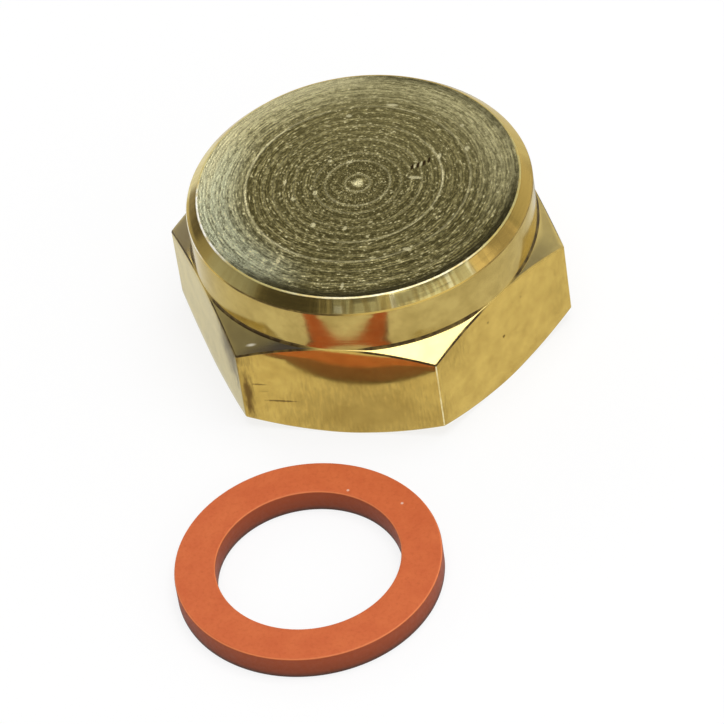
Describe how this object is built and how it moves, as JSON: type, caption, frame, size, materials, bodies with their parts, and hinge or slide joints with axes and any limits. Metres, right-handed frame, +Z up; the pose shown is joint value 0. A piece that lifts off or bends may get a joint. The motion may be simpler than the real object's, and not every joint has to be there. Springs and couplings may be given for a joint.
{
  "type": "blanking cap",
  "caption": "Brass hexagonal blanking cap with a chamfered collar and a blind threaded bore, shown with its flat red fibre sealing washer lying in front.",
  "frame": {"origin": "on the cap's axis, in the plane of its open rim, which is the surface it stands on", "axes": "+Z up along the cap's axis to its closed top; -Y out of the flat of the hexagon that faces the washer"},
  "size_m": [0.037, 0.0621, 0.0162],
  "materials": {
    "brass": "bright turned brass, with fine facing rings on the top face and drawn flats on the hexagon",
    "red_fibre": "matt vulcanised fibre, punched from sheet"
  },
  "bodies": {
    "root": {"cap": "brass", "sealing_washer": "red_fibre"}
  },
  "joints": []
}
